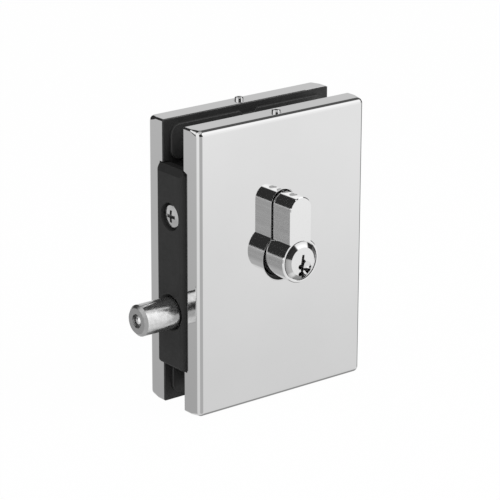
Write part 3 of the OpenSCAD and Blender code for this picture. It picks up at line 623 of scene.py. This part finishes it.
def add_fixing_screw(node):
    """Pan head screw about an axis along the width: the radius is a function of depth and angle, with a
    threaded shank, a head whose edge is a quarter circle and whose crown falls off with the square of the
    radius, and a recess whose radius follows a cross."""
    low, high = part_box(node)
    middle = (low + high) / 2
    head = (high.z - low.z) / 2
    flat = head - FIXING_EDGE

    def crown(r):
        """Place of the crown at a radius."""
        return low.x + FIXING_CROWN * (r / flat) ** 2

    angle = np.linspace(0, FULL_TURN, SCREW_AROUND, endpoint=False)
    ring = np.ones_like(angle)
    folded = np.abs(np.mod(angle + math.pi / 4, QUARTER_TURN) - math.pi / 4)
    arm = CROSS_ARM / np.maximum(np.sin(folded), NEARLY_ZERO)
    cross = np.minimum(CROSS_HALF / np.cos(folded), arm)
    seat = low.x + FIXING_HEAD
    depth = np.linspace(high.x - FIXING_POINT, seat, FIXING_ROWS)
    thread_end = depth[0] - FIXING_THREAD_SHORT * FIXING_PITCH
    cut = FIXING_THREAD * fade_ends(depth, seat + FIXING_PITCH, thread_end, FIXING_PITCH)
    shank = FIXING_SHANK - cut[:, None] * thread_cut(depth[:, None], angle, FIXING_PITCH)
    swell = np.linspace(0, QUARTER_TURN, FIXING_EDGE_ROWS)
    edge_r = head - FIXING_EDGE * (1 - np.cos(swell))
    edge_x = low.x + FIXING_CROWN + FIXING_EDGE * (1 - np.sin(swell))
    crown_r = np.linspace(flat, CROSS_HALF * CROSS_ROOM, FIXING_CROWN_ROWS)[1:]
    recess = CROSS_WALL + CROSS_FLOOR
    radii = np.concatenate([
        [FIXING_POINT_SHARE * FIXING_SHANK * ring], shank,
        [head * ring], edge_r[:, None] * ring, crown_r[:, None] * ring,
        [cross], [cross * share for share, _ in recess],
    ])
    places = np.concatenate([
        [high.x * ring], depth[:, None] * ring,
        [seat * ring], edge_x[:, None] * ring, crown(crown_r)[:, None] * ring,
        [crown(cross)], [crown(cross) + deep for _, deep in CROSS_WALL],
        [(low.x + deep) * ring for _, deep in CROSS_FLOOR],
    ])
    rings = np.stack([places, middle.y + radii * np.cos(angle), middle.z + radii * np.sin(angle)], axis=-1)
    painted_recess_shade = np.zeros(radii.shape)
    # Painted shade: the cross recess's rows carry the painted recess shade.
    painted_recess_shade[-len(recess):] = 1
    add_piece("cross_" + node, [rings], "screw_steel", node, painted_recess_shade)


# Cover's cut-out: key axis, round foot and how far it sits lower, half width and centre of the arch, then
# its rolled edge and how far that stands proud, and the steps around the foot, the arch and the edge
KEY_Z = 1.5 * MM
CUTOUT_ROUND = 9.45 * MM
CUTOUT_DROP = 0.9 * MM
CUTOUT_HALF = 5.7 * MM
CUTOUT_ARCH = 19.5 * MM
CUTOUT_EDGE = 0.22 * MM
CUTOUT_EDGE_PROUD = 0.06 * MM
CUTOUT_FOOT_STEPS = 90
CUTOUT_ARCH_STEPS = 40
CUTOUT_EDGE_STEPS = 14


def add_cutout_edge(name, node, side):
    """Rolled edge of a cover's cut-out: a small circle carried around the outline of the cut-out, a round
    foot with a slimmer arch above it, a hair proud of the cover's face."""
    low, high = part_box(node)
    face = low.y if side == FRONT else high.y
    half = CUTOUT_HALF
    foot_z = KEY_Z - CUTOUT_DROP
    waist = foot_z + math.sqrt(CUTOUT_ROUND ** 2 - half ** 2)
    arch_z = KEY_Z + CUTOUT_ARCH
    start = math.atan2(waist - foot_z, half)
    foot = np.linspace(math.pi - start, FULL_TURN + start, CUTOUT_FOOT_STEPS)
    arch = np.linspace(0, math.pi, CUTOUT_ARCH_STEPS)
    path = np.concatenate([
        np.stack([CUTOUT_ROUND * np.cos(foot), foot_z + CUTOUT_ROUND * np.sin(foot)], axis=-1),
        np.stack([half * np.cos(arch), arch_z + half * np.sin(arch)], axis=-1),
    ])
    ahead = np.roll(path, -1, axis=0) - np.roll(path, 1, axis=0)
    ahead /= np.linalg.norm(ahead, axis=1, keepdims=True)
    outward = np.stack([ahead[:, 1], -ahead[:, 0]], axis=-1)
    turn = np.linspace(0, FULL_TURN, CUTOUT_EDGE_STEPS, endpoint=False)
    wide = path[:, None] + CUTOUT_EDGE * np.cos(turn)[None, :, None] * outward[:, None]
    depth = face - side * (CUTOUT_EDGE - CUTOUT_EDGE_PROUD) + CUTOUT_EDGE * np.sin(turn)
    rings = np.stack([wide[..., 0], np.broadcast_to(depth, wide.shape[:2]), wide[..., 1]], axis=-1)
    add_piece(name, [rings], "polished_steel", ends=False)


# Pin springs: wire, turns, share of the wire that lies flat at each end, steps along and around the wire,
# and the number of pins on each side and their pitch
SPRING_WIRE = 0.44 * MM
SPRING_TURNS = 6.5
SPRING_CLOSED = 0.12
SPRING_STEPS = 130
SPRING_WIRE_STEPS = 10
PINS = 4
PIN_PITCH = 4.6 * MM


def add_pin_springs(node):
    """Coil springs above the driver pins: a round wire carried along a helix that doesn't rise at its two
    ends, so that they close flat."""
    low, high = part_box(node)
    wire = SPRING_WIRE / 2
    coil = (high.x - low.x) / 2 - wire
    share = np.linspace(0, 1, SPRING_STEPS)[:, None]
    turn = FULL_TURN * SPRING_TURNS * share
    risen = np.clip((share - SPRING_CLOSED) / (1 - 2 * SPRING_CLOSED), 0, 1)
    lift = low.z + wire + risen * (high.z - low.z - 2 * wire)
    around = np.linspace(0, FULL_TURN, SPRING_WIRE_STEPS, endpoint=False)
    reach = coil + wire * np.cos(around)
    rings = np.stack([reach * np.cos(turn), reach * np.sin(turn), lift + wire * np.sin(around)], axis=-1)
    first = high.y - coil - wire
    places = first - np.arange(PINS) * PIN_PITCH
    shells = [rings + np.array([0, y, 0]) for y in np.concatenate([places, -places])]
    add_piece("wound_" + node, shells, "spring_steel", node)


add_gasket("front_gasket", FRONT)
add_gasket("rear_gasket", REAR)
add_grub_screw("front_grub_screw")
add_grub_screw("rear_grub_screw")
add_fixing_screw("fixing_screw")
add_cutout_edge("front_cutout_edge", "front_cover", FRONT)
add_cutout_edge("rear_cutout_edge", "rear_cover", REAR)
add_pin_springs("pin_springs")


# Stage: floor, world and lamps. The floor's values are half its width, its gap below the part, its own grey
# and the share of white that the camera sees over its shadow.
WHITE = (1, 1, 1, 1)
FLOOR_HALF = 6.0
FLOOR_GAP = 0.2 * MM
FLOOR_GREY = (0.8, 0.8, 0.8, 1)
FLOOR_WHITE = 0.985


def floor_finish():
    """Pale floor: white to the camera with a trace of shadow, and a plain pale surface to everything else."""
    material = bpy.data.materials.new("pale_floor")
    material.use_nodes = True
    tree = material.node_tree
    tree.nodes.clear()
    output = tree.nodes.new("ShaderNodeOutputMaterial")
    mix = tree.nodes.new("ShaderNodeMixShader")
    surface = tree.nodes.new("ShaderNodeBsdfDiffuse")
    surface.inputs["Color"].default_value = FLOOR_GREY
    white = tree.nodes.new("ShaderNodeEmission")
    white.inputs["Color"].default_value = WHITE
    white.inputs["Strength"].default_value = 1.0
    path = tree.nodes.new("ShaderNodeLightPath")
    share = tree.nodes.new("ShaderNodeMath")
    share.operation = "MULTIPLY"
    share.inputs[1].default_value = FLOOR_WHITE
    tree.links.new(path.outputs["Is Camera Ray"], share.inputs[0])
    tree.links.new(share.outputs[0], mix.inputs["Fac"])
    tree.links.new(surface.outputs[0], mix.inputs[1])
    tree.links.new(white.outputs[0], mix.inputs[2])
    tree.links.new(mix.outputs[0], output.inputs["Surface"])
    return material


def lay_floor():
    """Square floor just below the part's lowest point. Metal sees the studio's own floor below its horizon
    instead."""
    half = FLOOR_HALF
    level = cad_box[0].z - FLOOR_GAP
    mesh = bpy.data.meshes.new("floor")
    corners = [(-half, -half, level), (half, -half, level), (half, half, level), (-half, half, level)]
    mesh.from_pydata(corners, [], [(0, 1, 2, 3)])
    mesh.materials.append(floor_finish())
    floor = bpy.data.objects.new("floor", mesh)
    floor.visible_glossy = False
    scene.collection.objects.link(floor)


# Light that all but metal and the camera sees from the world
EVEN_LEVEL = 0.45
# What polished metal sees of the studio: its levels, the heights of a ray between which the floor's two
# levels change, and half the height of its soft horizon. A patch is (direction, inner angle, outer angle,
# level), with a soft edge between the two angles. The floor's levels come in pairs, further down and near
# the horizon.
STUDIO_CEILING = 0.028
STUDIO_FLOOR = (0.70, 0.88)
FLOOR_STEEP = -0.40
FLOOR_SHALLOW = -0.24
HORIZON_HALF = 0.02
# Painted shadow: metal's floor is darker further down, as the part's shade near its foot; the first floor
# patch is the part's painted shadow behind it on the left, and the fourth its painted contact shadow straight
# below.
FLOOR_PATCHES = [
    ((-0.60, 0.74, -0.30), 24, 42, (0.40, 0.51)),
    ((-0.25, -0.85, -0.46), 24, 32, (0.45, 0.45)),
    ((-0.62, -0.76, -0.10), 12, 16, (0.45, 0.45)),
    ((0.40, 0.10, -0.90), 22, 34, (0.28, 0.28)),
    ((0.98, 0.10, -0.14), 14, 22, (0.12, 0.12)),
]
CEILING_PATCHES = [
    ((-0.75, -0.25, 0.60), 48, 56, 0.90),
    ((-0.34, -0.77, 0.42), 28, 31, STUDIO_CEILING),
    ((0.60, -0.60, 0.53), 24, 30, 1.06),
    ((0.62, -0.78, 0.10), 14, 22, 0.95),
    ((0.60, 0.74, 0.26), 18, 26, 0.60),
    ((0.58, 0.30, 0.75), 20, 28, 0.09),
    ((0.00, 0.05, 1.00), 22, 33, 0.50),
]


def light_world():
    """White to the camera; to polished metal a studio with a pale floor, a dark ceiling and soft-edged
    patches; to everything else an even grey."""
    world = bpy.data.worlds.new("studio")
    scene.world = world
    world.use_nodes = True
    tree = world.node_tree
    tree.nodes.clear()
    new = tree.nodes.new
    link = tree.links.new
    output = new("ShaderNodeOutputWorld")
    coords = new("ShaderNodeTexCoord")
    path = new("ShaderNodeLightPath")

    def toward(direction):
        """Cosine of the angle between a ray and a direction."""
        dot = new("ShaderNodeVectorMath")
        dot.operation = "DOT_PRODUCT"
        dot.inputs[1].default_value = Vector(direction).normalized()
        link(coords.outputs["Generated"], dot.inputs[0])
        return dot.outputs["Value"]

    def fade(source, low, high, to_low=0.0, to_high=1.0):
        """Smooth step from to_low at low to to_high at high."""
        step = new("ShaderNodeMapRange")
        step.interpolation_type = "SMOOTHSTEP"
        step.inputs["From Min"].default_value = low
        step.inputs["From Max"].default_value = high
        step.inputs["To Min"].default_value = to_low
        step.inputs["To Max"].default_value = to_high
        link(source, step.inputs["Value"])
        return step.outputs["Result"]

    def over(below, share, level):
        """Lays a level over what is below, by a share."""
        mix = new("ShaderNodeMix")
        mix.data_type = "FLOAT"
        link(share, mix.inputs["Factor"])
        link(below, mix.inputs["A"])
        link(level, mix.inputs["B"])
        return mix.outputs["Result"]

    def constant(number):
        """A level that is the same everywhere."""
        value = new("ShaderNodeValue")
        value.outputs["Value"].default_value = number
        return value.outputs["Value"]

    def within(direction, inner, outer):
        """1 inside the inner angle about a direction, 0 outside the outer one."""
        return fade(toward(direction), math.cos(math.radians(outer)), math.cos(math.radians(inner)))

    def white_light(level):
        """White light of a level, which is a number or a pattern."""
        light = new("ShaderNodeBackground")
        light.inputs["Color"].default_value = WHITE
        if isinstance(level, float):
            light.inputs["Strength"].default_value = level
        else:
            link(level, light.inputs["Strength"])
        return light.outputs["Background"]

    def shown_to(ray, own, others):
        """One light for a kind of ray and another for all others."""
        mix = new("ShaderNodeMixShader")
        link(path.outputs[ray], mix.inputs["Fac"])
        link(others, mix.inputs[1])
        link(own, mix.inputs[2])
        return mix.outputs["Shader"]

    height = toward((0, 0, 1))
    floor = fade(height, FLOOR_STEEP, FLOOR_SHALLOW, *STUDIO_FLOOR)
    for direction, inner, outer, levels in FLOOR_PATCHES:
        patch = fade(height, FLOOR_STEEP, FLOOR_SHALLOW, *levels)
        floor = over(floor, within(direction, inner, outer), patch)
    ceiling = constant(STUDIO_CEILING)
    for direction, inner, outer, patch_level in CEILING_PATCHES:
        ceiling = over(ceiling, within(direction, inner, outer), constant(patch_level))
    studio = over(floor, fade(height, -HORIZON_HALF, HORIZON_HALF), ceiling)
    lit = shown_to("Is Glossy Ray", white_light(studio), white_light(EVEN_LEVEL))
    seen = shown_to("Is Camera Ray", white_light(1.0), lit)
    link(seen, output.inputs["Surface"])


def hang_lamp(name, at, size, watts):
    """Square soft lamp at a point, facing the part's middle, that metal doesn't mirror."""
    data = bpy.data.lights.new(name, "AREA")
    data.shape = "SQUARE"
    data.size = size
    data.energy = watts
    lamp = bpy.data.objects.new(name, data)
    lamp.location = at
    lamp.rotation_euler = (-Vector(at)).to_track_quat("-Z", "Y").to_euler()
    lamp.visible_glossy = False
    scene.collection.objects.link(lamp)


lay_floor()
light_world()
hang_lamp("key_lamp", at=(0.5, -0.55, 0.75), size=0.6, watts=7.0)
hang_lamp("fill_lamp", at=(-0.9, 0.0, 0.45), size=0.7, watts=3.0)
